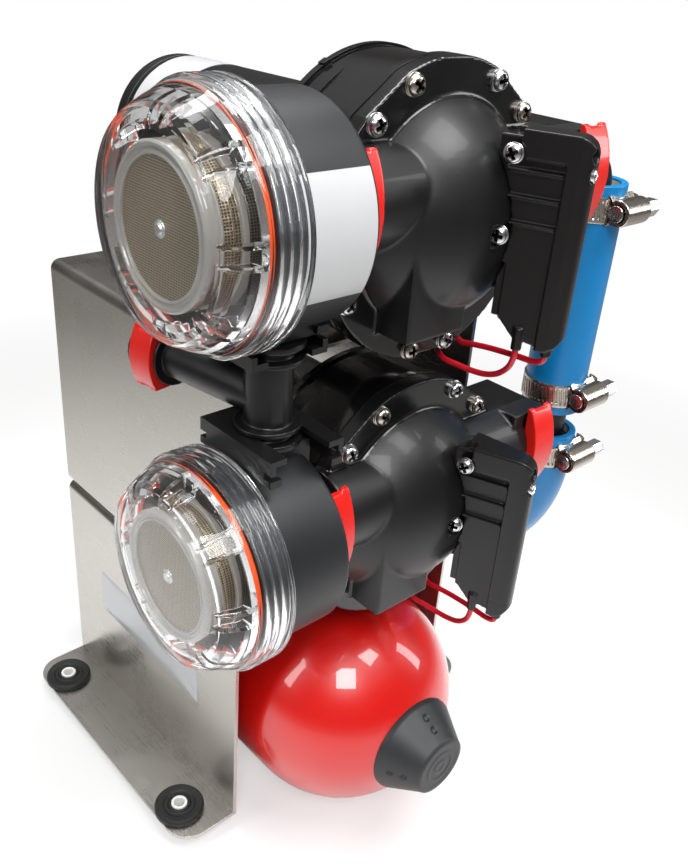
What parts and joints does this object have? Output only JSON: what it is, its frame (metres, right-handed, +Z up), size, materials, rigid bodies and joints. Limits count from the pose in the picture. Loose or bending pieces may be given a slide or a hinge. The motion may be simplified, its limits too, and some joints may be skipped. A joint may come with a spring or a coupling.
{
  "type": "pressurised water pump unit",
  "caption": "Pressurised water unit: two diaphragm pumps with clear screw strainers and pressure switches on a bent steel stand over a red accumulator tank, joined by blue hoses.",
  "frame": {"origin": "centre of the four floor bolt holes, on the plane that the rubber feet stand on", "axes": "+Z up; -Y is the front, where the pump heads and the tank's nose are; +X is the outlet side with the blue hoses; motor shafts lie along Y"},
  "size_m": [0.2626, 0.292, 0.3871],
  "materials": {
    "armature_steel": "laminated steel core",
    "black_plastic": "satin glass-filled moulding",
    "blue_hose": "smooth blue reinforced hose",
    "bright_steel": "zinc and nickel plated fasteners",
    "clear_plastic": "clear moulded polycarbonate",
    "gloss_black": "glossy black moulding",
    "grey_plastic": "fine-grained moulding",
    "motor_paint": "semi-gloss black paint",
    "orange_rubber": "orange seal ring",
    "pale_plastic": "unfilled moulding",
    "red_paint": "gloss enamel on steel",
    "red_plastic": "glossy red moulding",
    "red_wire": "red insulated lead",
    "rubber_black": "matt moulded rubber",
    "stainless": "brushed stainless sheet",
    "steel_mesh": "woven stainless mesh with plastic rings",
    "white_plastic": "moulded nylon"
  },
  "bodies": {
    "unit": {"lower_bench": "stainless", "upper_bench": "stainless", "frame_screws": "bright_steel", "rubber_feet": "rubber_black", "foot_sleeves": "white_plastic", "tank_shell": "red_paint", "tank_cradle": "stainless", "tank_tee": "black_plastic", "inlet_tee": "black_plastic", "lower_port_saddle": "black_plastic", "upper_port_saddle": "black_plastic", "outlet_elbow": "black_plastic", "outlet_tee": "black_plastic", "upper_hose": "blue_hose", "lower_hose": "blue_hose", "hose_clamps": "stainless", "lower_motor_can": "motor_paint", "lower_motor_end_cap": "black_plastic", "lower_motor_bracket": "bright_steel", "lower_motor_pads": "rubber_black", "lower_drive_housing": "gloss_black", "lower_wobble_plate": "pale_plastic", "lower_valve_plate": "black_plastic", "lower_head_cover": "black_plastic", "lower_head_screws": "bright_steel", "lower_switch_body": "black_plastic", "lower_switch_leads": "red_wire", "lower_strainer_body": "black_plastic", "lower_strainer_seal": "orange_rubber", "upper_motor_can": "motor_paint", "upper_motor_end_cap": "black_plastic", "upper_motor_bracket": "bright_steel", "upper_motor_pads": "rubber_black", "upper_drive_housing": "gloss_black", "upper_wobble_plate": "pale_plastic", "upper_valve_plate": "black_plastic", "upper_head_cover": "black_plastic", "upper_head_screws": "bright_steel", "upper_switch_body": "black_plastic", "upper_switch_leads": "red_wire", "upper_strainer_body": "black_plastic", "upper_strainer_seal": "orange_rubber"},
    "lower_rotor_body": {"lower_rotor": "armature_steel"},
    "lower_adjuster_body": {"lower_switch_adjuster": "bright_steel"},
    "lower_strainer_cover_body": {"lower_strainer_cover": "clear_plastic"},
    "lower_basket_body": {"lower_strainer_basket": "steel_mesh"},
    "lower_inlet_clip_body": {"lower_inlet_clip": "red_plastic"},
    "lower_outlet_clip_body": {"lower_outlet_clip": "red_plastic"},
    "upper_rotor_body": {"upper_rotor": "armature_steel"},
    "upper_adjuster_body": {"upper_switch_adjuster": "bright_steel"},
    "upper_strainer_cover_body": {"upper_strainer_cover": "clear_plastic"},
    "upper_basket_body": {"upper_strainer_basket": "steel_mesh"},
    "upper_inlet_clip_body": {"upper_inlet_clip": "red_plastic"},
    "upper_outlet_clip_body": {"upper_outlet_clip": "red_plastic"},
    "branch_clip_body": {"tee_clip": "red_plastic"},
    "valve_cap_body": {"tank_valve_cap": "grey_plastic"},
    "clamp_screw_1_body": {"clamp_screw_1": "bright_steel"},
    "clamp_screw_2_body": {"clamp_screw_2": "bright_steel"},
    "clamp_screw_3_body": {"clamp_screw_3": "bright_steel"},
    "clamp_screw_4_body": {"clamp_screw_4": "bright_steel"}
  },
  "joints": [
    {"name": "lower_motor_shaft", "type": "hinge", "parent": "unit", "child": "lower_rotor_body", "pos_m": [0, 0, 0.1941], "axis": [0, 1, 0], "continuous": true},
    {"name": "lower_pressure_adjuster", "type": "hinge", "parent": "unit", "child": "lower_adjuster_body", "pos_m": [0.0191, -0.16614, 0.2196], "axis": [0.3681, -0.9298, 0], "continuous": true},
    {"name": "lower_cover_off", "type": "slide", "parent": "unit", "child": "lower_strainer_cover_body", "axis": [-1, 0, 0], "range_m": [0, 0.07]},
    {"name": "lower_basket_out", "type": "slide", "parent": "unit", "child": "lower_basket_body", "axis": [-1, 0, 0], "range_m": [0, 0.035]},
    {"name": "lower_inlet_clip_pull", "type": "slide", "parent": "unit", "child": "lower_inlet_clip_body", "axis": [0, -1, 0], "range_m": [0, 0.046]},
    {"name": "lower_outlet_clip_pull", "type": "slide", "parent": "unit", "child": "lower_outlet_clip_body", "axis": [0, -1, 0], "range_m": [0, 0.046]},
    {"name": "upper_motor_shaft", "type": "hinge", "parent": "unit", "child": "upper_rotor_body", "pos_m": [0, 0, 0.3271], "axis": [0, 1, 0], "continuous": true},
    {"name": "upper_pressure_adjuster", "type": "hinge", "parent": "unit", "child": "upper_adjuster_body", "pos_m": [0.0191, -0.16614, 0.3526], "axis": [0.3681, -0.9298, 0], "continuous": true},
    {"name": "upper_cover_off", "type": "slide", "parent": "unit", "child": "upper_strainer_cover_body", "axis": [-1, 0, 0], "range_m": [0, 0.07]},
    {"name": "upper_basket_out", "type": "slide", "parent": "unit", "child": "upper_basket_body", "axis": [-1, 0, 0], "range_m": [0, 0.035]},
    {"name": "upper_inlet_clip_pull", "type": "slide", "parent": "unit", "child": "upper_inlet_clip_body", "axis": [0, -1, 0], "range_m": [0, 0.046]},
    {"name": "upper_outlet_clip_pull", "type": "slide", "parent": "unit", "child": "upper_outlet_clip_body", "axis": [0, -1, 0], "range_m": [0, 0.046]},
    {"name": "branch_clip_pull", "type": "slide", "parent": "unit", "child": "branch_clip_body", "axis": [-0.9877, -0.1564, 0], "range_m": [0, 0.026]},
    {"name": "valve_cap_pull", "type": "slide", "parent": "unit", "child": "valve_cap_body", "axis": [0, -1, 0], "range_m": [0, 0.03]},
    {"name": "clamp_screw_1_turn", "type": "hinge", "parent": "unit", "child": "clamp_screw_1_body", "pos_m": [0.109, -0.1299, 0.3197], "axis": [1, 0, 0], "continuous": true},
    {"name": "clamp_screw_2_turn", "type": "hinge", "parent": "unit", "child": "clamp_screw_2_body", "pos_m": [0.109, -0.1299, 0.2239], "axis": [1, 0, 0], "continuous": true},
    {"name": "clamp_screw_3_turn", "type": "hinge", "parent": "unit", "child": "clamp_screw_3_body", "pos_m": [0.109, -0.1299, 0.1883], "axis": [1, 0, 0], "continuous": true},
    {"name": "clamp_screw_4_turn", "type": "hinge", "parent": "unit", "child": "clamp_screw_4_body", "pos_m": [0.035, 0.108, 0.0909], "axis": [0, -1, 0], "continuous": true}
  ],
  "couplings": [
    {"joint": "lower_basket_out", "follows": "lower_cover_off", "ratio": 0.5},
    {"joint": "upper_basket_out", "follows": "upper_cover_off", "ratio": 0.5}
  ]
}
